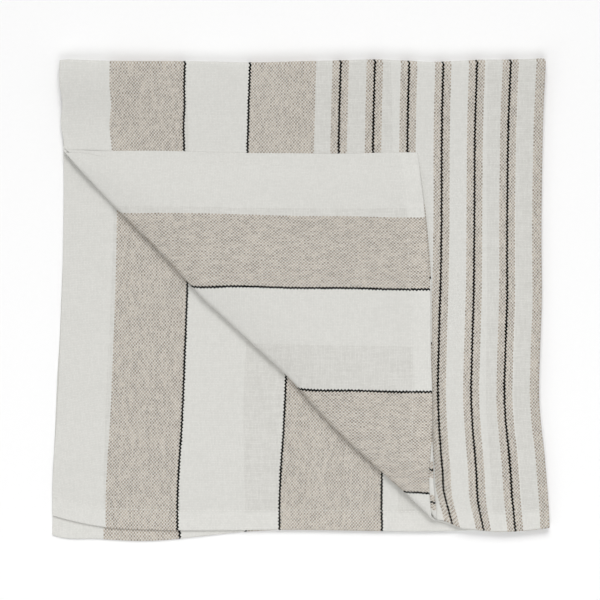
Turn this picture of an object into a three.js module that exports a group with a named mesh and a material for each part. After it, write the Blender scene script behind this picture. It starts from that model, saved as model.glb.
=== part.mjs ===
// A linen napkin, hemmed at its two ends, folded in quarters and laid flat. Its top two layers
// have their open corner turned up over the diagonal. Millimetres, +Z up. It is one cloth, so it
// is one solid: every point of the flat cloth is carried through the folds in the order in which
// a hand makes them, and both faces of the cloth are carried the same way.
import * as THREE from "three";

const { PI, sin, cos, sqrt, min, max, abs } = Math;

// The flat cloth: u runs across the stripes and v along them, both from the corner that ends up turned.
const wide = 500; // selvedge to selvedge
const long = 480; // hem to hem
const foldU = 248; // the first fold, down the middle along the stripes
const foldV = 240; // the second fold, across the stripes
const thick = 1.0; // cloth with its loft
const pitch = 1.3; // from one layer to the next

// The three folds
const sideR = pitch / 2; // first fold, at the right, to the middle of the cloth
const topR = pitch; // second fold, at the far edge, to the middle of two layers
const rollR = 1.3; // the turned corner starts in a small roll of this radius
const loftR = 26; // and ends its turn along this wide curve,
const loftTurn = 0.42; // through this angle, which stands up a little
const sideX = 124.9; // outermost point of the first fold
const topY = 122.0; // outermost point of the second fold
const rollEdge = 33.8; // from the middle of the napkin to the outermost point of the roll

const sideC = sideX - sideR - thick / 2;
const topC = topY - topR - sideR - thick / 2;
const rollStart = rollEdge - rollR - sideR - thick / 2;
const turn = PI - loftTurn; // how far the small roll turns
const loft = rollR * (1 + cos(loftTurn)) + loftR * (1 - cos(loftTurn)) - 2 * pitch;
const settle = 60; // past the wide curve, the turned corner comes down over this length
const bendU = (PI * sideR) / 2; // half the length of cloth in the first fold's bend
const bendV = (PI * topR) / 2; // and in the second fold's

// How unevenly it lies: shifts in millimetres by place. "down" is measured from the far fold
// towards the hems, and "across" from the open side towards the folded side, both where even
// folding would put them.
const sideLine = {
  down: [0, 28, 57, 96, 122, 151, 173, 189, 200, 214, 230, 240],
  shift: [0, -1.3, -1.9, -2.2, -2.0, -3.0, -3.4, -2.2, -0.9, 0.3, 1.5, 2.0],
};
const topLayer = {
  down: [0, 15, 24, 34, 46, 61, 97, 148, 173, 194, 212, 224, 232, 240],
  open: [0.4, 0.4, 1.5, 0.2, 1.9, 0.3, 0.9, 1.5, 1.6, 1.8, 1.8, 1.6, 1.8, 2.0],
  middle: [0.4, -0.2, -0.5, -0.7, -1.1, -0.8, -0.5, 0, 0.5, 1.0, 1.3, 1.5, 2.0, 2.6],
  folded: [0.4, 0.1, -0.1, -0.2, -0.3, -0.3, -0.5, -1.8, -2.2, -1.3, 0.0, 0.3, 2.0, 4.0],
};
const secondLayer = {
  down: [0, 46, 78, 112, 143, 169, 203, 224, 235, 240],
  shift: [4.4, 5.9, 7.0, 7.3, 7.9, 8.7, 8.9, 9.5, 9.5, 9.5],
  edge: [0, -0.4, -0.8, -0.8, -0.2, 0, 0, 0, 0, 0],
};
const thirdLayer = {
  down: [0, 46, 78, 122, 148, 173, 191, 210, 224, 245],
  shift: [4.6, 6.1, 6.1, 5.2, 4.2, 3.2, 2.3, 1.0, 0.4, 0.3],
};
const bottomLayer = {
  down: [0, 24, 46, 100, 122, 141, 155, 186, 210, 240],
  shift: [0.4, 1.5, 1.9, 1.8, 0.8, 0, -0.9, -2.3, -3.2, -3.8],
};
const farFold = {
  across: [-5, 0, 22, 64, 106, 123, 144, 161, 177, 189, 213, 230, 248],
  shift: [-0.5, -0.5, 0.2, 0.4, 1.0, 0.5, 0, -0.4, 0.2, 0.8, -0.2, -0.4, -1.0],
};
const topHem = {
  across: [-2, 30, 59, 69, 104, 122, 143, 159, 173, 184, 191, 195, 198, 208, 225, 235, 250],
  shift: [-13.4, -9.0, -6.5, -6, -5.7, -5.5, -5.6, -5.2, -4.9, -4.6, -4.4, -2.8, -1.5, -0.3,
    0.2, -0.5, -2.2],
};
const secondHem = {
  across: [-4, 20, 50, 59, 95, 113, 134, 150, 165, 174, 182, 188, 193, 202, 225, 235, 250],
  shift: [-9.4, -6.6, -4.3, -3.8, -3.3, -2.8, -3.1, -4.2, -4.7, -4.6, -4.2, -2.6, -0.9, 0,
    0.3, -0.3, -2.0],
};
const thirdHem = {
  across: [-4, -1, 11, 23, 46, 123, 191, 248],
  shift: [-8.0, -7.1, -4.1, -2.0, -0.8, -0.7, 0, -2.0],
};
const bottomHem = {
  across: [-4, 0, 3, 22, 48, 61, 72, 94, 114, 248],
  shift: [0, 2.0, 2.9, 3.9, 4.9, 4.1, 2.9, 0.5, -0.7, -2.0],
};
// The roll's edge isn't straight: how far it bulges, by the place across where it passes. The
// bulge fades out over these lengths on both sides of the roll.
const fadeFlat = 25, fadeTurned = 16;
const rollLine = {
  across: [-10, 2, 14, 28, 51, 63, 73, 84, 97, 116, 137, 152, 166, 180, 205],
  shift: [-1.5, -1.5, -0.4, 0.2, 0.2, 0.8, 1.5, 0.8, 0.1, -0.9, 0.7, 0.4, -0.6, -1.5, -1.5],
};
// Soft swells of the upper layers: place, half width each way, height.
const swells = [
  { across: 150, down: 0, half: 150, tall: 32, high: 3.4 },
  { across: 8, down: 8, half: 36, tall: 15, high: 2.6 },
  { across: 8, down: 54, half: 26, tall: 14, high: 1.5 },
  { across: 236, down: 158, half: 26, tall: 18, high: 0.8 },
  { across: 226, down: 190, half: 16, tall: 30, high: 0.4 },
];
const flapSwell = { across: 120, down: 105, half: 50, tall: 40, high: 0.6 };
// The second and third layers follow the top one's swells by these parts of their height, but
// within riseTogether of the roll the two upper layers rise as one.
const followSecond = 0.45, followThird = 0.12, riseTogether = 14;

// A smooth line through a short table, level beyond its ends.
function along(at, value, x) {
  const n = at.length;
  const slope = (i) => {
    const a = max(i - 1, 0), b = min(i + 1, n - 1);
    if (a === i || b === i) return (value[b] - value[a]) / (at[b] - at[a]);
    const h0 = at[i] - at[a], h1 = at[b] - at[i];
    return ((value[i] - value[a]) / h0 * h1 + (value[b] - value[i]) / h1 * h0) / (h0 + h1);
  };
  x = min(max(x, at[0]), at[n - 1]);
  let i = 0;
  while (i < n - 2 && x >= at[i + 1]) i++;
  const h = at[i + 1] - at[i], t = (x - at[i]) / h, s = 1 - t;
  return value[i] * (1 + 2 * t) * s * s + slope(i) * h * t * s * s
    + value[i + 1] * t * t * (3 - 2 * t) - slope(i + 1) * h * t * t * s;
}
const ease = (a, b, x) => {
  const t = min(max((x - a) / (b - a), 0), 1);
  return t * t * (3 - 2 * t);
};
const mix = (a, b, t) => a + (b - a) * t;

// How far each of the four layers is shifted from its even place, in plan. The first fold joins
// the top layer to the second and the bottom layer to the third, and the second fold joins the
// top layer to the bottom one and the second to the third, so the shifts agree along them.
const leftX = -123.2;
function shiftOf(layer, x, y) {
  const across = x - leftX, down = topY - y, part = min(max(down / 240, 0), 1.1);
  const side = along(sideLine.down, sideLine.shift, down);
  let dx, dy;
  if (layer === 0) {
    const open = along(topLayer.down, topLayer.open, down);
    const middle = along(topLayer.down, topLayer.middle, down);
    const folded = along(topLayer.down, topLayer.folded, down);
    dx = across < 97 ? mix(open, middle, min(max(across / 97, 0), 1))
      : across < 194 ? mix(middle, folded, (across - 97) / 97)
        : mix(folded, side, min((across - 194) / 48, 1));
    dy = along(topHem.across, topHem.shift, across) * part;
  } else if (layer === 1) {
    const edge = along(secondLayer.down, secondLayer.edge, down) * (1 - ease(-4, 18, across));
    dx = mix(along(secondLayer.down, secondLayer.shift, down) + edge, side, ease(179, 248, across));
    dy = along(secondHem.across, secondHem.shift, across) * part;
  } else if (layer === 2) {
    dx = mix(along(thirdLayer.down, thirdLayer.shift, down), side - 1, ease(123, 248, across));
    dy = along(thirdHem.across, thirdHem.shift, across) * part ** 2;
  } else {
    dx = mix(along(bottomLayer.down, bottomLayer.shift, down), side - 1,
      min(max(across / 248, 0), 1));
    dy = along(bottomHem.across, bottomHem.shift, across) * part ** 3;
  }
  dy += along(farFold.across, farFold.shift, across) * (1 - ease(0, 46, down));
  return [dx, -dy];
}

const hill = (s, x, y) => s.high
  * Math.exp(-(((x - leftX - s.across) / s.half) ** 2) - ((topY - y - s.down) / s.tall) ** 2);

// Where the flat cloth's point (u, v) comes to lie. off is its height above the cloth's middle.
function laid(u, v, off) {
  // first fold, about the line u = foldU
  const turnU = min(max((u - foldU + bendU) / sideR, 0), PI);
  let x = sideC + (sideR + off) * sin(turnU);
  x += u < foldU - bendU ? u - foldU + bendU : u > foldU + bendU ? foldU + bendU - u : 0;
  const own = sideR * cos(turnU); // the cloth's middle, above the middle of two layers
  const w = (sideR + off) * cos(turnU);
  // second fold, about the line v = foldV
  const turnV = min(max((v - foldV + bendV) / topR, 0), PI);
  let y = topC + (topR + w) * sin(turnV);
  y += v < foldV - bendV ? v - foldV + bendV : v > foldV + bendV ? foldV + bendV - v : 0;
  let z = (topR + w) * cos(turnV);
  // the unevenness of each layer, passing from one to the next round the folds
  const s = (1 - cos(turnU)) / 2, t = (1 - cos(turnV)) / 2;
  const [d0, d1, d2, d3] = [0, 1, 2, 3].map((k) => shiftOf(k, x, y));
  const shift = [0, 1].map((k) => mix(mix(d0[k], d1[k], s), mix(d3[k], d2[k], s), t));
  x += shift[0];
  y += shift[1];
  const lift = mix(mix(1, followSecond, s), mix(0, followThird, s), t);
  if (v >= foldV) return { x, y, z: z + lift * swells.reduce((n, h) => n + hill(h, x, y), 0) };

  // the turned corner: a small roll of the top two layers, then a wide curve, and from its
  // height an easy way down onto them
  const d = (-x - y) / sqrt(2) - rollStart;
  const e = (x - y) / sqrt(2);
  const inner = rollR - own, outer = loftR - own;
  const first = inner * turn, second = outer * loftTurn;
  const place = (e - rollEdge) / sqrt(2) - leftX;
  const wave = along(rollLine.across, rollLine.shift, place);
  let reach = d, fade = 1 - ease(0, fadeFlat, -d);
  if (d > 0) {
    const off2 = w - own, p = min(d / inner, turn);
    reach = (inner - off2) * sin(p);
    let rise = rollR - (inner - off2) * cos(p);
    if (d > first) {
      const q = turn + min((d - first) / outer, loftTurn), past = max(d - first - second, 0);
      reach = (rollR - loftR) * sin(turn) + (outer - off2) * sin(q) - past;
      rise = rollR - (rollR - loftR) * cos(turn) - (outer - off2) * cos(q);
      rise -= loft * ease(0, settle, past);
    }
    fade = 1 - ease(0, fadeTurned, d - first);
    z = topR + rise;
  }
  reach += wave * fade;
  x = (e - rollStart - reach) / sqrt(2);
  y = (-e - rollStart - reach) / sqrt(2);
  const turned = ease(first, first + second + 10, d); // 1 on the turned corner itself
  const apart = ease(0, riseTogether, rollStart + (x + y) / sqrt(2)); // 0 at the roll
  const base = swells.reduce((n, h) => n + hill(h, x, y), 0);
  z += base * (d > 0 ? 1 : mix(1, lift, apart)) + turned * mix(0.8, 1, s) * hill(flapSwell, x, y);
  return { x, y, z };
}

// The cloth cut into small flat pieces: a grid, closer where the folds are, cut again along every
// line where the cloth bends, so that no piece bends.
const points = [];
let pieces = [];
const evenly = (from, to, count) =>
  Array.from({ length: count + 1 }, (_, i) => from + ((to - from) * i) / count);
const linesU = [...evenly(0, 195, 14), 212, 230, ...evenly(foldU - bendU, foldU + bendU, 6),
  268, 286, ...evenly(305, wide, 14)];
const linesV = [...evenly(0, 180, 13), 192, 202, 210, 217, 224, 231,
  ...evenly(foldV - bendV, foldV + bendV, 6), 253, 270, ...evenly(290, 450, 7), 461, 471, long];
for (const v of linesV) for (const u of linesU) points.push([u, v]);
for (let j = 0; j + 1 < linesV.length; j++)
  for (let i = 0; i + 1 < linesU.length; i++) {
    const k = j * linesU.length + i;
    pieces.push([k, k + 1, k + 1 + linesU.length, k + linesU.length]);
  }

// Cuts the pieces along the line where level(u, v) is 0. A corner within near of it is on it.
function cut(level, near, inside) {
  const value = points.map(([u, v]) => (inside(u, v) ? level(u, v) : 1e3));
  const side = (i) => (abs(value[i]) < near ? 0 : Math.sign(value[i]));
  const made = new Map();
  const crossing = (i, j) => {
    const key = i < j ? `${i} ${j}` : `${j} ${i}`;
    if (!made.has(key)) {
      const [p, q] = i < j ? [i, j] : [j, i];
      const signLo = Math.sign(value[p]);
      let lo = 0, hi = 1;
      const at = (t) => [0, 1].map((k) => mix(points[p][k], points[q][k], t));
      for (let n = 0; n < 30; n++) {
        const t = (lo + hi) / 2;
        if (Math.sign(level(...at(t))) === signLo) lo = t;
        else hi = t;
      }
      made.set(key, points.length);
      points.push(at((lo + hi) / 2));
    }
    return made.get(key);
  };
  const next = [];
  for (const piece of pieces) {
    const sides = piece.map(side);
    if (!sides.includes(1) || !sides.includes(-1) || piece.some((i) => value[i] === 1e3)) {
      next.push(piece);
      continue;
    }
    const plus = [], minus = [];
    piece.forEach((i, n) => {
      const j = piece[(n + 1) % piece.length], m = (n + 1) % piece.length;
      if (sides[n] >= 0) plus.push(i);
      if (sides[n] <= 0) minus.push(i);
      if (sides[n] * sides[m] < 0) {
        const c = crossing(i, j);
        plus.push(c);
        minus.push(c);
      }
    });
    next.push(plus, minus);
  }
  pieces = next;
}

// The roll's bends on the top layer, then on the second, each at its own radius. The roll stays
// inside these lines of the flat cloth, clear of the two folds.
const rollEndV = 226, rollEndTop = 232, rollEndSecond = 264;
function beforeRoll(u, v) {
  const top = u < foldU, y = topC - (foldV - bendV - v);
  const x = top ? sideC - (foldU - bendU - u) : sideC - (u - foldU - bendU);
  const [dx, dy] = shiftOf(top ? 0 : 1, x, y);
  return (-x - dx - y - dy) / sqrt(2) - rollStart;
}
for (const top of [true, false]) {
  const own = top ? sideR : -sideR;
  const first = (rollR - own) * turn, second = (loftR - own) * loftTurn;
  const inside = (u, v) => v < rollEndV && (top ? u < rollEndTop : u > rollEndSecond);
  for (const p of evenly(0, first, 7)) cut((u, v) => beforeRoll(u, v) - p, 0.3, inside);
  for (const q of [0.35, 0.7, 1]) cut((u, v) => beforeRoll(u, v) - first - q * second, 0.5, inside);
}

// Both faces and the rim
const face = (off) => points.map(([u, v]) => laid(u, v, off));
const right = face(thick / 2), wrong = face(-thick / 2);
const used = new Set(pieces.flat());
const vertex = [], index = [];
const idRight = new Map(), idWrong = new Map();
for (const i of used) {
  idRight.set(i, vertex.length);
  vertex.push(right[i]);
  idWrong.set(i, vertex.length);
  vertex.push(wrong[i]);
}
// Each piece is cut into triangles from the corner that gives the fattest ones.
const area = (a, b, c) =>
  ((points[b][0] - points[a][0]) * (points[c][1] - points[a][1])
    - (points[c][0] - points[a][0]) * (points[b][1] - points[a][1])) / 2;
function triangles(piece) {
  let best = null, most = -1;
  for (let n = 0; n < piece.length; n++) {
    const p = [...piece.slice(n), ...piece.slice(0, n)];
    const fan = p.slice(2).map((c, k) => [p[0], p[k + 1], c]);
    const least = min(...fan.map((t) => area(...t)));
    if (least > most) [best, most] = [fan, least];
  }
  return best;
}
const once = new Map();
for (const piece of pieces) {
  for (const [a, b, c] of triangles(piece)) {
    index.push(idRight.get(a), idRight.get(b), idRight.get(c));
    index.push(idWrong.get(a), idWrong.get(c), idWrong.get(b));
  }
  piece.forEach((i, n) => {
    const j = piece[(n + 1) % piece.length];
    if (once.has(`${j} ${i}`)) once.delete(`${j} ${i}`);
    else once.set(`${i} ${j}`, [i, j]);
  });
}
for (const [i, j] of once.values()) {
  index.push(idRight.get(i), idWrong.get(i), idWrong.get(j));
  index.push(idRight.get(i), idWrong.get(j), idRight.get(j));
}

const geometry = new THREE.BufferGeometry();
geometry.setAttribute("position",
  new THREE.Float32BufferAttribute(vertex.flatMap(({ x, y, z }) => [x, y, z]), 3));
geometry.setIndex(index);
geometry.computeBoundingBox();
const box = geometry.boundingBox;
geometry.translate(-(box.min.x + box.max.x) / 2, -(box.min.y + box.max.y) / 2, -box.min.z);
geometry.computeVertexNormals();

const linen = new THREE.MeshStandardMaterial({ color: 0xd9d8d0, roughness: 0.95 });
const napkin = new THREE.Mesh(geometry, linen);
napkin.name = "napkin";

const group = new THREE.Group();
group.add(napkin);
export default group;
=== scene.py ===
# %% [markdown]
# # A folded linen napkin
#
# The napkin is one striped linen cloth, hemmed at its two ends, folded in quarters and laid flat.
# The open corner of its two upper layers is turned up over the diagonal, so that the stripes on
# the turned flap run crosswise.
#
# This lesson makes the cloth the way a hand does. It starts from the flat cloth, works out where
# each point goes at every fold, and only then gives the cloth its weave. The frame loaded first is
# the plain solid of the same napkin. It fixes the size, and the detailed cloth takes its place.

# %% Load the frame
from math import cos, pi, radians, sin, sqrt

import bpy
import numpy as np
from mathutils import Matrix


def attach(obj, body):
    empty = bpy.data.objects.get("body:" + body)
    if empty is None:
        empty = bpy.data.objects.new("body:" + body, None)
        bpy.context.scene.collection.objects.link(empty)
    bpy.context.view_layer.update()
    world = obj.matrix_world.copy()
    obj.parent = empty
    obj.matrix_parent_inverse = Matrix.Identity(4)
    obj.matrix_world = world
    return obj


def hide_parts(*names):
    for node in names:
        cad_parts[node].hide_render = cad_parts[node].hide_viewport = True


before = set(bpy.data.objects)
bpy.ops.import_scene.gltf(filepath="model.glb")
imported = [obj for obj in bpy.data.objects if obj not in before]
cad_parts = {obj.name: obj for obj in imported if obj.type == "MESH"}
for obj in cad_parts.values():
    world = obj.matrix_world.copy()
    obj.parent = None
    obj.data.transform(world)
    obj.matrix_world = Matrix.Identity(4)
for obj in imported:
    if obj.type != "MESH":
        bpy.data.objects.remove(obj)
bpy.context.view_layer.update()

# %% [markdown]
# ## The flat cloth
#
# Any cloth is easiest to describe flat. Here u runs across the stripes, from one selvedge to the
# other, and v runs along them, from one hem to the other. Both are zero at the corner that ends up
# turned. Everything is in millimetres until the mesh is written.
#
# Modelling the folded shape directly would mean drawing four layers that have to agree along
# every fold. Carrying a flat cloth through its folds keeps them joined by itself, keeps its area,
# and gives the weave its coordinates for nothing.

# %% Sizes of the cloth and its folds
WIDE, LONG = 500.0, 480.0
FOLD_U, FOLD_V = 248.0, 240.0   # where the two folds fall on the flat cloth
PITCH = 1.3                     # from the middle of one layer to the next
HALF_CLOTH, HALF_HEM = 0.38, 0.42   # half the thickness of the cloth, and of its hems
HEM = 11.0                      # depth of the hems

SIDE_R = PITCH / 2              # first fold, at the right
TOP_R = PITCH                   # second fold, at the far edge, round two layers
ROLL_R = 1.3                    # the turned corner starts in a small roll
LOFT_R, LOFT_TURN = 26.0, 0.42  # and ends its turn along this wide curve, which stands up a little
SIDE_X, TOP_Y = 124.9, 122.0    # outermost points of the first and second folds
ROLL_EDGE = 33.8                # from the middle of the napkin to the roll's outermost point
LEFT_X = -123.2                 # the open side
SETTLE = 60.0                   # past the roll the corner comes down to rest over this length
SAG, SAG_WIDE = 0.3, 22.0       # a free edge sinks this far onto the layer below, over this width
FLAP_SAG, FLAP_SAG_WIDE = 0.5, 10.0   # how much further the flap's thin selvedges sink
FLAP_REST = 20.0                # the flap's selvedges don't stand up: the loft ends this far in
SOLID_HALF = 0.5                # the frame's solid is this thick each side of its middle

SIDE_C = SIDE_X - SIDE_R - SOLID_HALF
TOP_C = TOP_Y - TOP_R - SIDE_R - SOLID_HALF
ROLL_START = ROLL_EDGE - ROLL_R - SIDE_R - SOLID_HALF
TURN = pi - LOFT_TURN                # how far the small roll turns
LOFT = ROLL_R * (1 + cos(LOFT_TURN)) + LOFT_R * (1 - cos(LOFT_TURN)) - 2 * PITCH
FLOOR = TOP_R + SIDE_R + SOLID_HALF  # from the floor up to the middle of the folds
MIDDLE = (0.064, 0.189)              # moves the footprint's middle to the origin
print("the turned corner stands", round(LOFT, 2), "mm above its place, just past the roll")

# %% [markdown]
# ## Smooth lines through short tables
#
# No real napkin lies square. Each layer is shifted a little, and the shift changes along its edge.
# A short table of places and shifts says this best, with a smooth line drawn through its points.
# A cubic in each stretch, with slopes taken from the neighbouring points, passes through every
# point without overshooting much, and numpy works it out for all the vertices at once.

# %% Smooth lines, eases and mixes
def smooth_line(at, value, place):
    """The smooth line through the points (at, value), read at place and level past both ends.
    In each stretch it is a cubic that keeps the points' heights and their mean slopes."""
    at, value = np.array(at, float), np.array(value, float)
    slope = np.gradient(value, at)
    place = np.clip(place, at[0], at[-1])
    i = np.clip(np.searchsorted(at, place, side="right") - 1, 0, len(at) - 2)
    gap = at[i + 1] - at[i]
    t = (place - at[i]) / gap
    s = 1 - t
    return (value[i] * (1 + 2 * t) * s * s + slope[i] * gap * t * s * s
            + value[i + 1] * t * t * (3 - 2 * t) - slope[i + 1] * gap * t * t * s)


def ease(start, end, x):
    """0 up to start and 1 past end, with a soft s-shaped step between them."""
    t = np.clip((x - start) / (end - start), 0, 1)
    return t * t * (3 - 2 * t)


def mix(a, b, t):
    """a where t is 0, b where t is 1, and a straight blend between."""
    return a + (b - a) * t


print("halfway up an ease:", ease(0, 2, 1.0))

# %% [markdown]
# ## How unevenly the layers lie
#
# These tables are read off the way the napkin lies. "down" is measured from the far fold towards
# the hems, and "across" from the open side towards the folded side. A shift is how far the edge
# stands from where even folding would put it. The top layer's is given at three places across,
# and the second layer's free edge has a little more of its own. The last table isn't a shift: it
# says by what share of its height the roll is pressed down, and over what width.

# %% Shifts of the layers
SIDE_LINE = dict(
    down=[0, 28, 57, 96, 122, 151, 173, 189, 200, 214, 230, 240],
    shift=[0, -1.3, -1.9, -2.2, -2.0, -3.0, -3.4, -2.2, -0.9, 0.3, 1.5, 2.0])
TOP_LAYER = dict(
    down=[0, 15, 24, 34, 46, 61, 97, 148, 173, 194, 212, 224, 232, 240],
    open=[0.4, 0.4, 1.5, 0.1, 1.7, 1.8, 1.5, 2.7, 2.8, 3.0, 2.8, 2.4, 2.4, 2.4],
    middle=[0.4, -0.2, -0.5, -0.7, -1.1, -0.8, -0.5, 0, 0.5, 1.0, 1.3, 1.5, 2.0, 2.6],
    folded=[0.4, 0.1, -0.1, -0.2, -0.3, -0.3, -0.5, -1.8, -2.2, -1.3, 0.0, 0.3, 2.0, 4.0])
SECOND_LAYER = dict(
    down=[0, 46, 56, 78, 112, 143, 169, 203, 224, 235, 240],
    shift=[4.4, 5.9, 6.2, 7.0, 7.3, 7.9, 8.7, 8.9, 9.5, 9.5, 9.5],
    edge=[0, -0.4, -1.9, -0.8, -0.2, 0.7, 1.0, 1.0, 0.7, 0.4, 0.2])
THIRD_LAYER = dict(
    down=[0, 46, 78, 122, 148, 173, 191, 210, 224, 245],
    shift=[4.6, 6.1, 6.1, 5.2, 4.2, 3.2, 2.3, 1.0, 0.4, 0.3])
BOTTOM_LAYER = dict(
    down=[0, 24, 46, 100, 122, 141, 155, 186, 210, 240],
    shift=[0.4, 1.5, 1.9, 1.8, 0.8, 0, -0.9, -2.3, -3.2, -3.8])
FAR_FOLD = dict(
    across=[-5, 0, 22, 64, 106, 123, 144, 161, 177, 189, 213, 230, 248],
    shift=[-0.5, -0.5, 0.2, 0.4, 1.0, 0.5, 0, -0.4, 0.2, 0.8, -0.2, -0.4, -1.0])
TOP_HEM = dict(
    across=[-2, 30, 59, 69, 104, 122, 143, 159, 173, 184, 191, 195, 198, 208, 225, 235, 250],
    shift=[-13.4, -9.0, -6.5, -6, -5.7, -5.5, -5.6, -5.2, -4.9, -4.6, -4.4, -2.8, -1.5, -0.3,
           0.2, -0.5, -2.2])
SECOND_HEM = dict(
    across=[-4, 20, 50, 59, 95, 113, 134, 150, 165, 174, 182, 188, 193, 202, 225, 235, 250],
    shift=[-9.4, -6.6, -4.3, -3.8, -3.3, -2.8, -3.1, -4.2, -4.7, -4.6, -4.2, -2.6, -0.9, 0,
           0.3, -0.3, -2.0])
THIRD_HEM = dict(
    across=[-4, -1, 11, 23, 46, 123, 191, 248],
    shift=[-8.0, -7.1, -4.1, -2.0, -0.8, -0.7, 0, -2.0])
BOTTOM_HEM = dict(
    across=[-4, 0, 3, 22, 48, 61, 72, 94, 114, 248],
    shift=[0, 2.0, 2.9, 3.9, 4.9, 4.1, 2.9, 0.5, -0.7, -2.0])
ROLL_LINE = dict(
    across=[-10, 2, 14, 28, 51, 63, 73, 84, 97, 116, 137, 152, 166, 180, 205],
    shift=[-1.0, -1.0, -0.4, 0.2, 0.2, 0.8, 1.5, 0.8, 0.1, -0.9, 0.7, 0.4, -0.6, -1.5, -1.5])
PRESSED = dict(
    across=[2, 8, 16, 24, 34, 60, 150],
    share=[0.85, 0.72, 0.55, 0.4, 0.28, 0.24, 0.22],
    spread=[26, 26, 24, 20, 15, 14, 14])
MIDDLE_AT, FOLDED_AT, SIDE_AT = 97.0, 194.0, 242.0   # where the top layer's shifts are given
EDGE_WIDE = 18.0                # the second layer's free edge is this wide
FAR_WIDE = 46.0                 # the far fold's shift fades out over this length


def layer_shift(layer, x, y):
    """How far a layer is shifted in plan at (x, y), as (right, away). Layer 0 is the top one and
    3 the bottom one. Along the first fold layers 0 and 1, and 2 and 3, have the same shift."""
    across, down = x - LEFT_X, TOP_Y - y
    part = np.clip(down / FOLD_V, 0, 1.1)
    side = smooth_line(SIDE_LINE["down"], SIDE_LINE["shift"], down)
    if layer == 0:
        edge, middle, folded = (smooth_line(TOP_LAYER["down"], TOP_LAYER[k], down)
                                for k in ("open", "middle", "folded"))
        near_open = mix(edge, middle, np.clip(across / MIDDLE_AT, 0, 1))
        between = mix(middle, folded, (across - MIDDLE_AT) / (FOLDED_AT - MIDDLE_AT))
        near_fold = np.clip((across - FOLDED_AT) / (SIDE_AT - FOLDED_AT), 0, 1)
        near_fold = mix(folded, side, near_fold)
        right = np.where(across < MIDDLE_AT, near_open,
                         np.where(across < FOLDED_AT, between, near_fold))
        nearer = smooth_line(TOP_HEM["across"], TOP_HEM["shift"], across) * part
    elif layer == 1:
        edge = smooth_line(SECOND_LAYER["down"], SECOND_LAYER["edge"], down)
        right = smooth_line(SECOND_LAYER["down"], SECOND_LAYER["shift"], down)
        right = right + edge * (1 - ease(-4, EDGE_WIDE, across))
        right = mix(right, side, ease(179, FOLD_U, across))
        nearer = smooth_line(SECOND_HEM["across"], SECOND_HEM["shift"], across) * part
    elif layer == 2:
        right = mix(smooth_line(THIRD_LAYER["down"], THIRD_LAYER["shift"], down), side - 1,
                    ease(123, FOLD_U, across))
        nearer = smooth_line(THIRD_HEM["across"], THIRD_HEM["shift"], across) * part ** 2
    else:
        right = mix(smooth_line(BOTTOM_LAYER["down"], BOTTOM_LAYER["shift"], down), side - 1,
                    np.clip(across / FOLD_U, 0, 1))
        nearer = smooth_line(BOTTOM_HEM["across"], BOTTOM_HEM["shift"], across) * part ** 3
    nearer = nearer + (smooth_line(FAR_FOLD["across"], FAR_FOLD["shift"], across)
                       * (1 - ease(0, FAR_WIDE, down)))
    return right, -nearer


drawn_back = float(layer_shift(0, -100.0, -118.0)[1])
print("near the open side the top layer's hem is drawn back by", round(drawn_back, 1), "mm")

# %% [markdown]
# ## Puffs, creases and troughs
#
# Cloth that was folded once keeps soft ridges where it was folded before, and puffs up where a
# layer is a little too long. Each is a long low hill with a middle, a direction, a half length, a
# half width and a height, below zero for a trough. A table of hills gives control over each one,
# which noise or a simulation wouldn't.
#
# The lower layers follow the top one by a part of its height, so no layer passes through the next.
# Towards the roll the second layer rises to the top one's height, because the two turn together.

# %% Hills on the upper layers, on the flap and on the third layer
# across, down, half length, half width, turn in degrees, height
UPPER = [
    (150, 0, 150, 32, 0, 3.4),
    (8, 8, 36, 15, 0, 2.6),
    (8, 54, 26, 14, 0, 1.5),
    (236, 158, 26, 18, 0, 0.8),
    (226, 190, 16, 30, 0, 0.4),
]
UPPER_FINE = [
    (6, 8, 36, 15, 0, 0.5),
    (6, 54, 26, 13, 0, 0.6),
    (228, 175, 22, 4, 8, -0.3),
    (232, 95, 18, 5, 6, 0.2),
    (214, 132, 5, 50, 0, 0.2),
]
FLAP = [
    (120, 105, 50, 40, 0, 0.6),
    (190, 197, 12, 23, 0, 2.2),
]
THIRD = [
    (12, 125, 30, 9, 3, 0.35),
    (10, 160, 30, 9, -4, 0.3),
    (20, 200, 40, 13, 2, 0.45),
    (95, 205, 45, 13, 0, 0.5),
]
SECOND_FOLLOWS, THIRD_FOLLOWS = 0.45, 0.12   # the lower layers' share of the upper hills
BOTTOM_FOLLOWS = 0.12                        # the bottom layer's share of the third one's hills


def hills(table, x, y):
    """The height of a table's hills at (x, y). A hill falls off as the exponential of minus the
    squared distance from its middle, measured in half lengths one way and half widths the other."""
    height = np.zeros_like(x)
    for across, down, half_long, half_wide, turned, high in table:
        right, near = x - LEFT_X - across, TOP_Y - y - down
        c, s = cos(radians(turned)), sin(radians(turned))
        height += high * np.exp(-((right * c + near * s) / half_long) ** 2
                                - ((near * c - right * s) / half_wide) ** 2)
    return height


print("hills placed:", len(UPPER + UPPER_FINE + FLAP + THIRD))

# %% [markdown]
# ## Carrying the cloth through its folds
#
# A fold is a half turn about a small radius. A point before it stays where it is, a point in it
# goes round the bend by its arc length, and a point past it comes back on the other side. The same
# rule does all three folds. The turned corner is the third: most of its turn is a small roll, and
# the rest is a much wider curve, because linen doesn't fold sharp unless it is pressed. Past the
# roll the corner stands up a little, and it comes down to rest over the next centimetres.
#
# Three things are left to do then. The roll is pressed down, nearly flat where it meets the open
# side. The puffs are added. And each free edge sinks until it lies on the layer below it.

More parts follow.
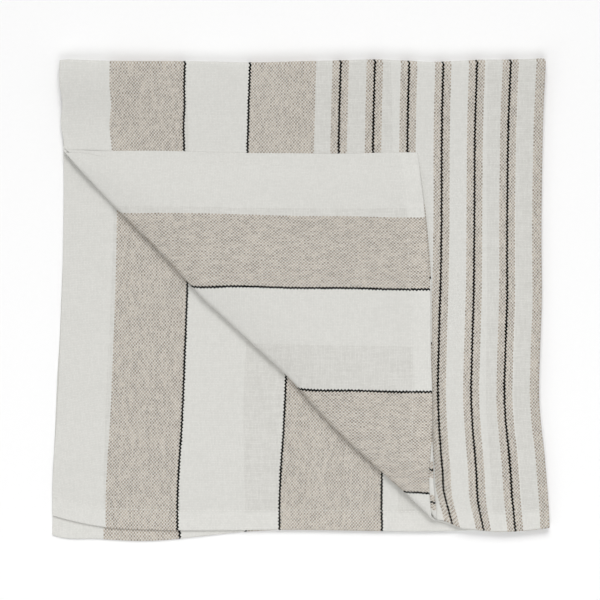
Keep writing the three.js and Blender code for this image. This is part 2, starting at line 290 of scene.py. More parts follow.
# %% The fold map
def in_quarters(u, v, off):
    """Where the point (u, v) lies after the first two folds, as (x, y, height, how far round the
    first fold, how far round the second). A fold takes a point at distance s along the cloth to
    the angle s / radius. off is the point's height above the middle of the cloth."""
    half_u, half_v = pi * SIDE_R / 2, pi * TOP_R / 2
    turn_u = np.clip((u - FOLD_U + half_u) / SIDE_R, 0, pi)
    turn_v = np.clip((v - FOLD_V + half_v) / TOP_R, 0, pi)
    x = SIDE_C + (SIDE_R + off) * np.sin(turn_u)
    x += np.minimum(u - FOLD_U + half_u, 0) - np.maximum(u - FOLD_U - half_u, 0)
    above = (SIDE_R + off) * np.cos(turn_u)
    y = TOP_C + (TOP_R + above) * np.sin(turn_v)
    y += np.minimum(v - FOLD_V + half_v, 0) - np.maximum(v - FOLD_V - half_v, 0)
    return x, y, (TOP_R + above) * np.cos(turn_v), turn_u, turn_v


def laid(u, v, off):
    """Where the flat cloth's point (u, v) comes to lie, in millimetres from the middle of the
    folds: the two square folds, then each layer's shift, then the roll of the turned corner on the
    two upper layers, and last the puffs and creases."""
    x, y, z, turn_u, turn_v = in_quarters(u, v, off)
    s, t = (1 - np.cos(turn_u)) / 2, (1 - np.cos(turn_v)) / 2
    layers = [layer_shift(k, x, y) for k in range(4)]
    right, away = (mix(mix(layers[0][k], layers[1][k], s), mix(layers[3][k], layers[2][k], s), t)
                   for k in (0, 1))
    x, y = x + right, y + away
    lift = mix(mix(1, SECOND_FOLLOWS, s), mix(0, THIRD_FOLLOWS, s), t)

    # d is how far past the start of the roll, e the place along it
    d, e = (-x - y) / sqrt(2) - ROLL_START, (x - y) / sqrt(2)
    own = SIDE_R * np.cos(turn_u)          # this layer's middle above the middle of the two
    above = (SIDE_R + off) * np.cos(turn_u) - own
    inner, outer = ROLL_R - own, LOFT_R - own
    first, second = inner * TURN, outer * LOFT_TURN
    p, q = np.clip(d / inner, 0, TURN), TURN + np.clip((d - first) / outer, 0, LOFT_TURN)
    wider = ROLL_R - LOFT_R
    past = np.maximum(d - first - second, 0)
    reach = np.where(d > first, wider * sin(TURN) + (outer - above) * np.sin(q) - past,
                     (inner - above) * np.sin(p))
    rise = np.where(d > first, ROLL_R - wider * cos(TURN) - (outer - above) * np.cos(q),
                    ROLL_R - (inner - above) * np.cos(p)) - LOFT * ease(0, SETTLE, past)
    rolled = (v < FOLD_V) & (d > 0)
    reach = np.where(rolled, reach, d)

    # the roll's line wavers, and the waver fades out on both sides of it
    fade = 1 - np.where(rolled, ease(0, 16, d - first), ease(0, 25, -d))
    place = (e - ROLL_EDGE) / sqrt(2) - LEFT_X
    wave = smooth_line(ROLL_LINE["across"], ROLL_LINE["shift"], place) * fade
    upper = v < FOLD_V
    reach = reach + np.where(upper, wave, 0)
    x = np.where(upper, (e - ROLL_START - reach) / sqrt(2), x)
    y = np.where(upper, (-e - ROLL_START - reach) / sqrt(2), y)
    z = np.where(rolled, TOP_R + rise, z)

    # the roll is pressed down towards the third layer, most where it meets the open side
    past_roll = ROLL_START + (x + y) / sqrt(2)
    share, spread = (smooth_line(PRESSED["across"], PRESSED[k], place)
                     for k in ("share", "spread"))
    pressed = share * upper * np.exp(-(past_roll / spread) ** 2)
    z = z - (z - HALF_CLOTH + SIDE_R) * pressed

    # puffs and creases: the flap rides on those of the layers below it, and has its own
    base = hills(UPPER + UPPER_FINE, x, y)
    lift = np.where(upper, mix(1, lift, ease(0, 14, past_roll)), lift)
    turned = ease(first, first + second + 10, d)
    own_hills = np.where(rolled, turned * mix(0.8, 1, s) * hills(FLAP, x, y), 0)
    on_third = hills(THIRD, x, y) * ease(0, 25, -past_roll) * t * mix(BOTTOM_FOLLOWS, 1, s)
    z = z + np.where(rolled, base, base * lift) + own_hills + on_third

    # a free edge sinks onto the layer below it, and the edges above it come down with it; the
    # flap's selvedges sink further and don't stand up past the roll
    to_side, to_hem = np.minimum(u, WIDE - u), np.minimum(v, LONG - v)
    below = np.where(rolled, 1 + s, mix(3 - s, s, t))
    sunk = SAG * below * (1 - ease(0, SAG_WIDE, np.minimum(to_side, to_hem)))
    sunk = sunk + FLAP_SAG * mix(1, 1.6, s) * rolled * (1 - ease(0, FLAP_SAG_WIDE, to_side))
    sunk = sunk + LOFT * (1 - ease(0, SETTLE, past)) * rolled * (1 - ease(0, FLAP_REST, to_side))
    on_roll = ease(-20, 0, d) * ease(-20, 0, first - d) * upper
    return x, y, z - sunk * (1 - on_roll) * (1 - pressed)


lowest = laid(np.array([100.0]), np.array([400.0]), np.array([0.0]))[2][0]
print("the bottom layer's middle is", round(lowest + FLOOR, 2), "mm above the floor")

# %% [markdown]
# ## The mesh
#
# The cloth is a grid of lines across and along, close together where it bends and wider where it
# lies flat. Both faces are the same grid, carried through the same folds half a thickness above
# and below the middle, and a narrow rim joins them. That is what a Solidify modifier does, but
# here each face bends about its own radius and the hems can be thicker than the cloth. Towards
# the edges the cloth thins out, which rounds the selvedges and the hems' outer folds.
#
# Each square is cut into two triangles along the direction of the roll, so that the roll is
# smooth from end to end. The turned corner crosses the first half of the cloth one way and the
# second half the other way.

# %% Grid lines and thickness
FINE, FINE_TO = 2.0, 200.0      # the fine grid's spacing, and how far in from the edges it goes
HEM_STEP = 0.4                  # half the width of the step at the hem's inner edge
ROUNDED = 0.4                   # the edges are rounded off over this width
THINNED, THIN_WIDE = 0.35, 5.0  # share of its thickness left at a selvedge, and over what width
half_u, half_v = pi * SIDE_R / 2, pi * TOP_R / 2
edge_lines = np.array([0, 0.15, 0.4, 0.9])
fine = np.arange(FINE, FINE_TO, FINE)
lines_u = np.concatenate([
    edge_lines, fine, np.linspace(FINE_TO, FOLD_U - half_u, 12)[:-1],
    np.linspace(FOLD_U - half_u, FOLD_U + half_u, 11),
    np.linspace(FOLD_U + half_u, WIDE - FINE_TO, 12)[1:], (WIDE - fine)[::-1],
    (WIDE - edge_lines)[::-1]])
hem_lines = np.array([HEM - HEM_STEP, HEM + HEM_STEP])
# past the second fold the cloth lies flat, so there the lines are further apart
lines_v = np.unique(np.concatenate([
    edge_lines, fine, hem_lines, np.linspace(FINE_TO, FOLD_V - half_v, 10)[:-1],
    np.linspace(FOLD_V - half_v, FOLD_V + half_v, 11),
    np.linspace(FOLD_V + half_v, LONG - HEM - FINE, 47)[1:], LONG - hem_lines,
    np.linspace(LONG - HEM + FINE, LONG - FINE, 4), LONG - edge_lines]))


def half_thickness(u, v):
    """Half the cloth's thickness: thicker over the hems by a short step, thinner towards the
    selvedges, and rounded off as a quarter circle in the last fraction of a millimetre."""
    to_hem, to_side = np.minimum(v, LONG - v), np.minimum(u, WIDE - u)
    half = mix(HALF_HEM, HALF_CLOTH, ease(HEM - HEM_STEP, HEM + HEM_STEP, to_hem))
    half = half * mix(THINNED, 1, ease(0, THIN_WIDE, to_side))
    for distance in (to_hem, to_side):
        into = np.clip(1 - distance / ROUNDED, 0, 0.995)
        half = half * np.sqrt(1 - into ** 2)
    return half


U, V = np.meshgrid(lines_u, lines_v)
print("grid:", len(lines_u), "by", len(lines_v), "lines")

# %% Faces and rim
def cloth_faces(rows, columns):
    """The triangles of both faces and of the rim. The wrong side has the right side's triangles
    turned over, and its vertices follow the right side's. The rim is a strip round the border."""
    k = np.arange(rows * columns).reshape(rows, columns)
    a, b, c, d = k[:-1, :-1], k[:-1, 1:], k[1:, 1:], k[1:, :-1]
    falling = np.stack([a, b, d, b, c, d], -1)    # cut from b to d
    rising = np.stack([a, b, c, a, c, d], -1)     # cut from a to c
    first_half = (lines_u[:-1] < FOLD_U)[None, :, None]
    right = np.where(first_half, falling, rising).reshape(-1, 3)
    border = np.concatenate([k[0, :-1], k[:-1, -1], k[-1, :0:-1], k[:0:-1, 0]])
    ahead = np.roll(border, -1)
    under, under_ahead = border + k.size, ahead + k.size
    rim = np.concatenate([np.stack([border, under, under_ahead], -1),
                          np.stack([border, under_ahead, ahead], -1)])
    return np.concatenate([right, right[:, ::-1] + k.size, rim])


faces = cloth_faces(len(lines_v), len(lines_u))
print("triangles:", len(faces))

# %% [markdown]
# ## Writing the mesh
#
# foreach_set hands Blender a whole numpy array at once, so a mesh of this size takes a moment
# where a loop over vertices would take minutes. The flat cloth's own u and v, in metres, become
# the UV map. The weave is drawn in it, so it bends with every fold as real threads do.

# %% A mesh from arrays
def new_piece(name, points, triangles, flat):
    """A smooth mesh object at the origin. points are in millimetres from the middle of the folds,
    and flat is each point's u and v on the flat cloth, in millimetres."""
    mesh = bpy.data.meshes.new(name)
    mesh.vertices.add(len(points))
    placed = (points + np.array([*MIDDLE, FLOOR])) / 1000
    mesh.vertices.foreach_set("co", placed.astype(np.float32).ravel())
    mesh.loops.add(triangles.size)
    mesh.loops.foreach_set("vertex_index", triangles.astype(np.int32).ravel())
    mesh.polygons.add(len(triangles))
    mesh.polygons.foreach_set("loop_start", np.arange(0, triangles.size, 3, dtype=np.int32))
    mesh.polygons.foreach_set("use_smooth", np.ones(len(triangles), bool))
    uv = mesh.uv_layers.new(name="flat cloth")
    uv.uv.foreach_set("vector", (flat[triangles.ravel()] / 1000).astype(np.float32).ravel())
    mesh.update()
    mesh.validate()
    piece = bpy.data.objects.new(name, mesh)
    bpy.context.scene.collection.objects.link(piece)
    return piece


half = half_thickness(U, V)
points = np.concatenate([np.stack(laid(U, V, side * half), -1).reshape(-1, 3)
                         for side in (1, -1)])
flat = np.tile(np.stack([U, V], -1).reshape(-1, 2), (2, 1))
napkin = new_piece("napkin_cloth", points, faces, flat)
print("highest point, mm:", round(float(points[:, 2].max() + FLOOR), 2))

# %% [markdown]
# ## What lies beneath
#
# Linen this light lets what lies under it show a little: a pale stripe looks greyer where a taupe
# stripe of the next layer lies below it. A renderer could find this by tracing light through the
# cloth, which is slow and noisy. The folds are known here, so each vertex can simply say which
# place of the flat cloth lies directly beneath it, and the finish mixes in a little of that
# place's colour. A vertex attribute carries the number to the shader.

# %% The place beneath each point
def place_beneath(u, v):
    """The u of the cloth directly beneath the right side at (u, v). A layer and the one below it
    are joined by the first fold, so the place beneath is the mirror image across that fold, moved
    by the difference between the two layers' shifts. The bottom layer has only the table beneath
    it, so there the answer is its own u, which changes nothing."""
    x, y, _, turn_u, turn_v = in_quarters(u, v, np.zeros_like(u))
    s, t = (1 - np.cos(turn_u)) / 2, (1 - np.cos(turn_v)) / 2
    shifts = [layer_shift(k, x, y)[0] for k in range(4)]
    upper = shifts[1] - shifts[0]
    lower = shifts[2] - shifts[3]
    apart = np.where(t > 0.5, lower, upper)
    mirror = 2 * FOLD_U - u
    return np.where((t > 0.5) & (s < 0.5), u, mirror + apart)


beneath = np.concatenate([place_beneath(U, V).ravel(), U.ravel()]) / 1000
attribute = napkin.data.attributes.new("beneath", "FLOAT", "POINT")
attribute.data.foreach_set("value", beneath.astype(np.float32))
print("places beneath, m, from and to:", beneath.min().round(3), beneath.max().round(3))

# %% [markdown]
# ## Stitches
#
# Each hem is held by a row of short stitches near its inner edge. They could be a bump in the
# finish, but a small closed bead for each stitch catches the light truly and costs little. A bead
# is made in the flat cloth's own coordinates, and then goes through the same folds as the cloth,
# so it always sits on it.

# %% A row of stitches along each hem, on both faces
STITCH_PITCH, STITCH_LONG, STITCH_R = 2.05, 1.55, 0.17
STITCH_LINE = HEM - 0.75              # from the edge of the cloth to the row of stitches
FIRST_STITCH, LAST_STITCH = 1.2, 2.6  # the row starts and stops this far from the selvedges
UNEVEN, LEAN = 0.12, 0.06             # how far stitches stray along the row, and beside it
BEDDED = 0.55                         # share of its radius by which a stitch sinks in
STATIONS, AROUND = 4, 5               # rings along a bead, and points round each


def stitch_beads(line, side):
    """All the beads of one row, as (u, v, off) and triangles. A bead is a ring of points round a
    straight thread, narrowed to its two ends, with a point at each end."""
    start = np.arange(FIRST_STITCH, WIDE - LAST_STITCH, STITCH_PITCH)
    start = start + UNEVEN * np.sin(start * 12.9)
    along = np.linspace(0.12, 0.88, STATIONS)
    radius = STITCH_R * np.sqrt(np.sin(along * pi))
    angle = np.arange(AROUND) * 2 * pi / AROUND
    lean = LEAN * np.sin(start * 7.3)
    ring_u = np.broadcast_to(start[:, None, None] + along[None, :, None] * STITCH_LONG,
                             (len(start), STATIONS, AROUND))
    ring_v = line + lean[:, None, None] + radius[:, None] * np.cos(angle)
    ring_off = np.broadcast_to(radius[:, None] * np.sin(angle), ring_u.shape)
    rings = np.stack([ring_u, ring_v, ring_off], -1).reshape(len(start), -1, 3)
    ends = np.zeros((len(start), 2, 3))
    ends[:, 0, 0], ends[:, 1, 0] = start, start + STITCH_LONG
    ends[:, :, 1] = (line + lean)[:, None]
    beads = np.concatenate([rings, ends], 1)
    surface = HALF_HEM - BEDDED * STITCH_R
    beads[:, :, 2] = side * (surface + beads[:, :, 2])

    k = np.arange(STATIONS * AROUND).reshape(STATIONS, AROUND)
    a, b = k[:-1], np.roll(k[:-1], -1, 1)
    c, d = np.roll(k[1:], -1, 1), k[1:]
    first, last = k.size, k.size + 1
    one = np.concatenate([
        np.stack([a, d, c], -1).reshape(-1, 3), np.stack([a, c, b], -1).reshape(-1, 3),
        np.stack([np.full(AROUND, first), k[0], np.roll(k[0], -1)], -1),
        np.stack([np.full(AROUND, last), np.roll(k[-1], -1), k[-1]], -1)])
    if side < 0:
        one = one[:, ::-1]
    every = one[None] + (np.arange(len(start)) * beads.shape[1])[:, None, None]
    return beads.reshape(-1, 3), every.reshape(-1, 3)


rows, row_faces, count = [], [], 0
for line in (STITCH_LINE, LONG - STITCH_LINE):
    for side in (1, -1):
        beads, triangles = stitch_beads(line, side)
        rows.append(beads)
        row_faces.append(triangles + count)
        count += len(beads)
beads, bead_faces = np.concatenate(rows), np.concatenate(row_faces)
stitch_points = np.stack(laid(*beads.T), -1)
stitches = new_piece("hem_stitches", stitch_points, bead_faces, beads[:, :2])
print("stitches:", count // (STATIONS * AROUND + 2), " triangles:", len(bead_faces))

# %% [markdown]
# ## A finish made of threads
#
# The weave is plain: each thread goes over one and under one. The warp carries the stripes, and
# the weft is white throughout, so a taupe stripe is really half brown and half white. Drawing the
# threads one by one gives that speckle at nearly its true size, which a smooth colour never does.
#
# Everything comes from arithmetic on the UV map: which warp thread and which weft thread cross
# here, and which of them is on top. A few lines of helpers keep the node tree readable.

# %% Helpers for a tree of nodes
def new_material(name):
    """A new material, with its node tree and the shader in it."""
    material = bpy.data.materials.new(name)
    material.use_nodes = True
    return material, material.node_tree, material.node_tree.nodes["Principled BSDF"]


def feed(tree, socket, value):
    """Gives a socket its value: a number, a colour, or what another node puts out."""
    if isinstance(value, bpy.types.NodeSocket):
        tree.links.new(value, socket)
    else:
        socket.default_value = value


def calculator(tree):
    """A function that adds one Math node to the tree. Its values are numbers or other sockets."""
    def calculate(operation, *values):
        node = tree.nodes.new("ShaderNodeMath")
        node.operation = operation
        for socket, value in zip(node.inputs, values):
            feed(tree, socket, value)
        return node.outputs[0]
    return calculate


def blend(tree, share, a, b, kind="MIX"):
    """Adds a node that blends two colours by share, and returns the result."""
    node = tree.nodes.new("ShaderNodeMix")
    node.data_type, node.blend_type = "RGBA", kind
    for socket, value in zip((node.inputs[0], node.inputs[6], node.inputs[7]), (share, a, b)):
        feed(tree, socket, value)
    return node.outputs[2]


def clamped(calculate, value):
    """The number kept between 0 and 1."""
    return calculate("MINIMUM", calculate("MAXIMUM", value, 0.0), 1.0)


def together(tree, *values):
    """Up to three numbers joined to one vector, which is also a colour."""
    node = tree.nodes.new("ShaderNodeCombineXYZ")
    for socket, value in zip(node.inputs, values):
        feed(tree, socket, value)
    return node.outputs[0]


def noise(tree, x, y, z, detail):
    """Smooth noise from 0 to 1 at (x, y, z)."""
    made = tree.nodes.new("ShaderNodeTexNoise")
    made.inputs["Scale"].default_value = 1.0
    made.inputs["Detail"].default_value = detail
    tree.links.new(together(tree, x, y, z), made.inputs["Vector"])
    return made.outputs[0]


def flat_place(tree):
    """The flat cloth's u and v here, in metres, from the UV map."""
    uv = tree.nodes.new("ShaderNodeUVMap")
    uv.uv_map = "flat cloth"
    parts = tree.nodes.new("ShaderNodeSeparateXYZ")
    tree.links.new(uv.outputs[0], parts.inputs[0])
    return parts.outputs[0], parts.outputs[1]


def ridges(tree, shader, height, strength, deep):
    """Shades the surface as if it had this relief, up to so many metres deep."""
    bump = tree.nodes.new("ShaderNodeBump")
    bump.inputs["Strength"].default_value = strength
    bump.inputs["Distance"].default_value = deep
    tree.links.new(height, bump.inputs["Height"])
    tree.links.new(bump.outputs[0], shader.inputs["Normal"])


helpers = (new_material, feed, calculator, blend, clamped, together, noise, flat_place, ridges)
print("helpers:", [helper.__name__ for helper in helpers])

# %% [markdown]
# ## The stripes, counted in threads
#
# A weaver lists stripes by how many warp threads each one takes. The list below does the same, so
# that every stripe begins and ends on a whole thread. The narrow stripes repeat evenly, and each
# black line is one thread of thick black yarn.

# %% The weaver's list
ENDS, PICKS = 662, 546                # warp threads across, weft threads along
END, PICK = WIDE / ENDS, LONG / PICKS
TAUPE = [(34, 84), (129, 173), (322, 347), (358, 370), (440, 508), (578, 626)]
BLACK = [84, 128, 331, 439, 508, 577]
NARROW_FIRST, NARROW_COUNT = 184, 6   # the first thread of the narrow stripes, and how many
NARROW_STEP = 23                      # from one narrow stripe to the next
NARROW_WIDE, NARROW_LINE = 11, 5      # threads in a narrow stripe, and before its black one


def stripes_group():
    """A node group that tells, for the number of a warp thread, whether it is taupe and whether
    it is black. A stripe is a Compare node: 1 where the number is within half the stripe's width
    of its middle."""
    group = bpy.data.node_groups.new("stripes", "ShaderNodeTree")
    group.interface.new_socket("thread", in_out="INPUT", socket_type="NodeSocketFloat")
    for name in ("taupe", "black"):
        group.interface.new_socket(name, in_out="OUTPUT", socket_type="NodeSocketFloat")
    thread = group.nodes.new("NodeGroupInput").outputs["thread"]
    outside = group.nodes.new("NodeGroupOutput")
    calculate = calculator(group)

    def within(number, start, stop):
        """1 where the number is start or more and less than stop."""
        return calculate("COMPARE", number, (start + stop - 1) / 2, (stop - start) / 2 - 0.25)

    def total(sockets):
        """The sum of the sockets."""
        result = sockets[0]
        for socket in sockets[1:]:
            result = calculate("ADD", result, socket)
        return result

    def in_narrow(start, stop):
        """1 on the threads of each narrow stripe from start up to stop."""
        step = calculate("SUBTRACT", thread, NARROW_FIRST)
        step = calculate("FLOORED_MODULO", step, NARROW_STEP)
        among = within(thread, NARROW_FIRST, NARROW_FIRST + NARROW_STEP * NARROW_COUNT)
        return calculate("MULTIPLY", among, within(step, start, stop))

    found = {
        "taupe": [within(thread, *stripe) for stripe in TAUPE] + [in_narrow(0, NARROW_WIDE)],
        "black": ([within(thread, at, at + 1) for at in BLACK]
                  + [in_narrow(NARROW_LINE, NARROW_LINE + 1)]),
    }
    for name, sockets in found.items():
        group.links.new(total(sockets), outside.inputs[name])
    return group


stripes = stripes_group()
print("narrow stripes:", NARROW_COUNT, " black lines:", len(BLACK) + NARROW_COUNT,
      " a thread is", round(END, 3), "mm")

# %% [markdown]
# ## The linen
#
# Linen yarn is uneven. It has thick and thin places a centimetre or so long, and short slubs. So
# each thread gets its own tone, which changes along it, and each crossing differs a little from
# the next. Raw brown yarn varies far more than bleached white yarn does.
#
# Which thread is on top follows from two slanting waves. Two equal waves make an even
# checkerboard. One is made a very little stronger here, because the twist of the yarn makes each
# short stretch lean the same way, which draws very faint diagonals.
#
# The cloth is thinnest beside the threads, so that is where the layer beneath shows. In the hems
# it is three layers thick, so nothing shows through there and they look paler.

# %% The linen finish
WHITE_YARN = ((0.690, 0.685, 0.650, 1), (0.738, 0.732, 0.697, 1))
TAUPE_YARN = ((0.280, 0.232, 0.183, 1), (0.517, 0.448, 0.368, 1))
BLACK_YARN = ((0.002, 0.002, 0.002, 1), (0.010, 0.010, 0.009, 1))
TAUPE_BENEATH = (0.455, 0.438, 0.402, 1)
LEANING, CROSSING = 0.51, 0.49        # strengths of the two slanting waves
STEEP = 3.0                           # how sharply one thread gives way to the other
STRAY, STRAY_STEP = 0.7, 0.45         # how far threads stray, in threads, and how quickly
NEXT_THREAD, ALONG_THREAD = 7.31, 0.11   # steps of the tone's noise, per thread and along it
TONE_RANGE, TONE_START = 2.6, -0.8    # a thread's tone is this noise stretched and moved
CROSSING_RANGE = 0.9                  # how much the tone differs from crossing to crossing
MOTTLE_RANGE, MOTTLE_STEP = 1.2, 0.36  # and from patch to patch, and how quickly
BLACK_LEAN, BLACK_SWELL = 0.36, 0.22  # how far black threads lean, and are thicker, in threads
THIN_WEFT = 0.2                       # share of the brown warp that shows through the white weft
SEE_BETWEEN, SEE_ON_TOP = 0.22, 0.07  # share of the colour beneath, between threads and on them
SEE_THIN, SEE_TAUPE = 0.25, 0.75      # more of it through thin threads, less through taupe ones
HEM_PALER, HEM_STEEP = 0.03, 450.0    # how much paler the hems are, and how sharply they begin
VALLEY_SHADE = 0.06                         # how much painted shade darkens the valleys between the threads
BUMP, BUMP_DEEP = 0.35, 0.00012       # strength of the threads' round backs, and depth in metres


def wander(tree, calculate, across, ahead, z):
    """How far the threads stray sideways here, in threads: noise times STRAY, about zero."""
    stray = noise(tree, calculate("MULTIPLY", across, STRAY_STEP),
                  calculate("MULTIPLY", ahead, STRAY_STEP), z, 1.0)
    return calculate("MULTIPLY_ADD", stray, STRAY, -STRAY / 2)


def linen_finish():
    """The linen material: threads from the UV map, stripes from the weaver's list, tone and slubs
    from noise along each thread, and the colour beneath through the thin places."""
    material, tree, shader = new_material("striped_linen")
    calculate = calculator(tree)
    link = tree.links.new

    def stripe_at(thread):
        """What the stripes' node group says of one warp thread, by name."""
        node = tree.nodes.new("ShaderNodeGroup")
        node.node_tree = stripes
        link(thread, node.inputs["thread"])
        return node.outputs

    # the threads that cross here
    u, v = flat_place(tree)
    across, ahead = calculate("DIVIDE", u, END / 1000), calculate("DIVIDE", v, PICK / 1000)
    across = calculate("ADD", across, wander(tree, calculate, across, ahead, 1.7))
    ahead = calculate("ADD", ahead, wander(tree, calculate, across, ahead, 5.2))
    end, pick = calculate("FLOOR", across), calculate("FLOOR", ahead)

    # which of them is on top: above 0 the weft, below 0 the warp
    leaning = calculate("COSINE", calculate("MULTIPLY", calculate("SUBTRACT", across, ahead), pi))
    crossing = calculate("COSINE", calculate("MULTIPLY", calculate("ADD", across, ahead), pi))
    wave = calculate("ADD", calculate("MULTIPLY", leaning, LEANING),
                     calculate("MULTIPLY", crossing, -CROSSING))
    depth = calculate("ABSOLUTE", wave)
    weft_on_top = clamped(calculate, calculate("MULTIPLY_ADD", wave, STEEP, 0.5))

    # each thread's own tone, changing along it, and the cloth's own mottle
    warp_tone = noise(tree, calculate("MULTIPLY", end, NEXT_THREAD),
                      calculate("MULTIPLY", ahead, ALONG_THREAD), 3.1, 2.0)
    weft_tone = noise(tree, calculate("MULTIPLY", pick, NEXT_THREAD),
                      calculate("MULTIPLY", across, ALONG_THREAD), 8.7, 2.0)
    mottle = noise(tree, calculate("MULTIPLY", across, MOTTLE_STEP),
                   calculate("MULTIPLY", ahead, MOTTLE_STEP), 0.4, 2.0)
    crossings = tree.nodes.new("ShaderNodeTexWhiteNoise")
    crossings.noise_dimensions = "2D"
    link(together(tree, end, pick), crossings.inputs["Vector"])
    own_tone = calculate("MULTIPLY_ADD", crossings.outputs["Value"],
                         CROSSING_RANGE, -CROSSING_RANGE / 2)
    own_tone = calculate("ADD", own_tone,
                         calculate("MULTIPLY_ADD", mottle, MOTTLE_RANGE, -MOTTLE_RANGE / 2))

    def toned(tone):
        """0 for a thread's darkest tone here and 1 for its palest."""
        start = calculate("ADD", own_tone, TONE_START)
        return clamped(calculate, calculate("MULTIPLY_ADD", tone, TONE_RANGE, start))

    # black threads are of thick yarn, and lean to one side and the other as the weft binds them
    lean = calculate("COSINE", calculate("MULTIPLY", ahead, pi))
    lean = calculate("MULTIPLY_ADD", lean, BLACK_LEAN, across)
    beside = [calculate("FLOOR", calculate("ADD", lean, swell))
              for swell in (BLACK_SWELL, -BLACK_SWELL)]
    black = calculate("MAXIMUM", *(stripe_at(thread)["black"] for thread in beside))

    # what is woven: the stripes on the warp, white on the weft
    taupe = stripe_at(end)["taupe"]
    warp_tone_now = toned(warp_tone)
    warp = blend(tree, taupe, blend(tree, warp_tone_now, *WHITE_YARN),
                 blend(tree, warp_tone_now, *TAUPE_YARN))
    warp = blend(tree, black, warp, blend(tree, warp_tone_now, *BLACK_YARN))
    weft = blend(tree, toned(weft_tone), *WHITE_YARN)

    # the thick black threads hide the weft, and the brown ones show through it a little
    weft_shows = calculate("MULTIPLY", weft_on_top, calculate("SUBTRACT", 1.0, black))
    weft_shows = calculate("MULTIPLY", weft_shows,
                           calculate("MULTIPLY_ADD", taupe, -THIN_WEFT, 1.0))
    colour = blend(tree, weft_shows, warp, weft)

    # the hems
    to_hem = calculate("MINIMUM", v, calculate("SUBTRACT", LONG / 1000, v))
    hem = clamped(calculate, calculate("MULTIPLY_ADD", to_hem, -HEM_STEEP,
                                       HEM / 1000 * HEM_STEEP - 0.2))

    # the colour beneath, beside the threads and through thin ones
    below = tree.nodes.new("ShaderNodeAttribute")
    below.attribute_name = "beneath"
    under = stripe_at(calculate("FLOOR", calculate("DIVIDE", below.outputs["Fac"], END / 1000)))
    dark_under = calculate("MAXIMUM", under["taupe"], under["black"])
    under_colour = blend(tree, dark_under, WHITE_YARN[0], TAUPE_BENEATH)
    thin = calculate("SUBTRACT", 1.0, calculate("ADD", warp_tone, weft_tone))
    see = calculate("MULTIPLY_ADD", depth, SEE_ON_TOP - SEE_BETWEEN, SEE_BETWEEN)
    see = calculate("MULTIPLY_ADD", thin, SEE_THIN, see)
    see = calculate("MULTIPLY", see, calculate("SUBTRACT", 1.0, hem))
    see = calculate("MULTIPLY", see, calculate("MULTIPLY_ADD", taupe, -SEE_TAUPE, 1.0))
    see = calculate("MULTIPLY", see, calculate("SUBTRACT", 1.0, black))
    colour = blend(tree, clamped(calculate, see), colour, under_colour)

    # painted shade darkens the valleys between the threads a little, and the hems are paler
    valley_shade_and_hem_tone = calculate("MULTIPLY_ADD", depth, VALLEY_SHADE, 1 - VALLEY_SHADE)
    valley_shade_and_hem_tone = calculate("MULTIPLY", valley_shade_and_hem_tone, calculate("MULTIPLY_ADD", hem, HEM_PALER, 1.0))
    colour = blend(tree, 1.0, colour, together(tree, valley_shade_and_hem_tone, valley_shade_and_hem_tone, valley_shade_and_hem_tone), "MULTIPLY")
    link(colour, shader.inputs["Base Color"])

    # the round backs of the threads
    ridges(tree, shader, calculate("SQRT", depth), BUMP, BUMP_DEEP)
    link(calculate("MULTIPLY_ADD", depth, -0.1, 0.95), shader.inputs["Roughness"])
    shader.inputs["Specular IOR Level"].default_value = 0.1
    shader.inputs["Sheen Weight"].default_value = 0.05
    shader.inputs["Sheen Roughness"].default_value = 0.5
    return material


linen = linen_finish()
napkin.data.materials.append(linen)
print("nodes in the linen finish:", len(linen.node_tree.nodes))

# %% [markdown]
# ## The sewing thread
#
# The hems are sewn with plain white thread, a little brighter than the cloth. At a third of a
# millimetre across, its twist is only a faint stripe along each stitch, drawn as painted shade in
# its grooves and painted light on its ridges.

# %% The sewing thread's finish
TWIST, TWIST_SLANT = 0.0003, 1.5      # metres from ridge to ridge of the twist, and its slant


def thread_finish():
    """White sewing thread: slanting ridges for its twist, from a wave along the UV map's u, with
    painted shade in the grooves and painted light on the ridges.
    """
    material, tree, shader = new_material("sewing_thread")
    calculate = calculator(tree)
    u, v = flat_place(tree)
    slant = calculate("ADD", u, calculate("MULTIPLY", v, TWIST_SLANT))
    twist = calculate("SINE", calculate("MULTIPLY", slant, 2 * pi / TWIST))
    # painted shade in the twist's grooves and painted light on its ridges, from the same wave as
    # the bump
    colour = blend(tree, calculate("MULTIPLY_ADD", twist, 0.5, 0.5),
                   (0.74, 0.73, 0.69, 1), (0.83, 0.82, 0.78, 1))
    tree.links.new(colour, shader.inputs["Base Color"])
    ridges(tree, shader, twist, 0.4, 0.00004)
    shader.inputs["Roughness"].default_value = 0.7
    shader.inputs["Sheen Weight"].default_value = 0.1
    return material


stitches.data.materials.append(thread_finish())
print("finishes:", [m.name for m in bpy.data.materials if m.users])

# %% [markdown]
# ## Taking the solid's place
#
# The detailed cloth stands for the plain solid, which stays behind it for physics. Both pieces
# ride on the one body there is.

# %% Riding on the frame
for piece in (napkin, stitches):
    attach(piece, "root")
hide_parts("napkin")

# %% [markdown]
# ## Floor, light and camera
#
# A photograph of table linen from above has a pale ground and soft light from one side, so that
# the folds show without hard shadows. One large lamp stands beyond the far fold. A much weaker one
# hangs in front and above, and a weak reflector stands on the side that the roll faces, so that
# the roll's shaded side stays readable. The sky fills in the rest. The camera looks straight down
# through a long lens, which shows the napkin nearly without perspective.

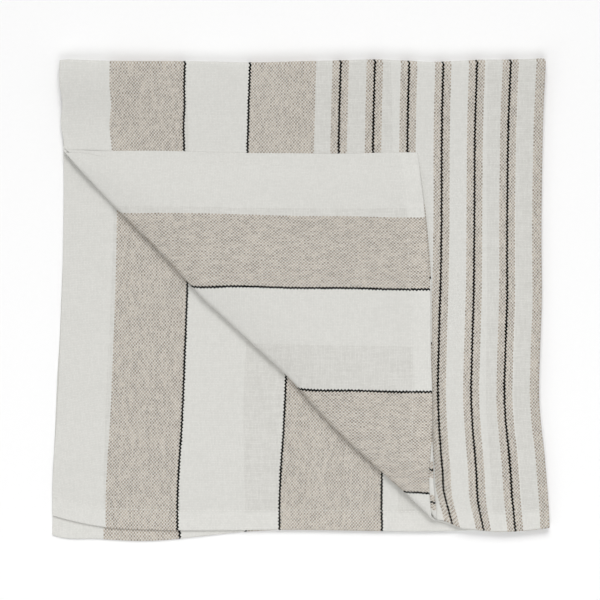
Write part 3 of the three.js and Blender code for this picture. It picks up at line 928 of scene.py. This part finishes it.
# %% Floor
def floor_finish():
    """A plain pale floor with a very fine grain, from noise on Object coordinates."""
    material, tree, shader = new_material("pale_floor")
    place = tree.nodes.new("ShaderNodeTexCoord")
    grain = tree.nodes.new("ShaderNodeTexNoise")
    grain.inputs["Scale"].default_value = 400.0
    tree.links.new(place.outputs["Object"], grain.inputs["Vector"])
    colour = blend(tree, grain.outputs[0], (0.97, 0.97, 0.97, 1), (0.99, 0.99, 0.99, 1))
    tree.links.new(colour, shader.inputs["Base Color"])
    shader.inputs["Roughness"].default_value = 0.9
    shader.inputs["Specular IOR Level"].default_value = 0.1
    return material


FLOOR_HALF = 6.0
corners = [(x * FLOOR_HALF, y * FLOOR_HALF, 0) for x, y in ((-1, -1), (1, -1), (1, 1), (-1, 1))]
mesh = bpy.data.meshes.new("floor")
mesh.from_pydata(corners, [], [(0, 1, 2, 3)])
ground = bpy.data.objects.new("floor", mesh)
ground.data.materials.append(floor_finish())
bpy.context.scene.collection.objects.link(ground)
print("floor:", 2 * FLOOR_HALF, "m wide")

# %% Light
SKY = 0.37                            # strength of the light from all round


def soft_lamp(name, place, size, watts):
    """A square lamp of the given size that faces the napkin."""
    data = bpy.data.lights.new(name, "AREA")
    data.size, data.energy = size, watts
    lamp = bpy.data.objects.new(name, data)
    lamp.location = place
    lamp.rotation_euler = (-lamp.location).to_track_quat("-Z", "Y").to_euler()
    lamp.visible_camera = False
    bpy.context.scene.collection.objects.link(lamp)
    return lamp


soft_lamp("window", (0.15, 4.0, 3.9), 2.8, 176.0)
soft_lamp("front", (0.05, -0.65, 1.0), 0.6, 4.2)
soft_lamp("reflector", (-2.2, -2.2, 1.8), 1.6, 12.0)
world = bpy.data.worlds.new("studio")
world.use_nodes = True
sky = world.node_tree.nodes["Background"]
sky.inputs["Color"].default_value = (1.0, 1.0, 1.0, 1)
sky.inputs["Strength"].default_value = SKY
bpy.context.scene.world = world
bpy.context.scene.view_settings.view_transform = "Standard"

# %% Camera
PICTURE_WIDE = 0.306                  # metres across the picture, at the napkin's height
AIM = (-0.00044, -0.00017)            # the picture's middle on the napkin
NAPKIN_HIGH = 0.003                   # the height that most of the napkin lies at
LENS, SENSOR = 200.0, 36.0
lens = bpy.data.cameras.new("above")
lens.lens, lens.sensor_width = LENS, SENSOR
camera = bpy.data.objects.new("above", lens)
camera.location = (*AIM, NAPKIN_HIGH + PICTURE_WIDE * LENS / SENSOR)
bpy.context.scene.collection.objects.link(camera)
bpy.context.scene.camera = camera
print("camera height, m:", round(camera.location.z, 3))
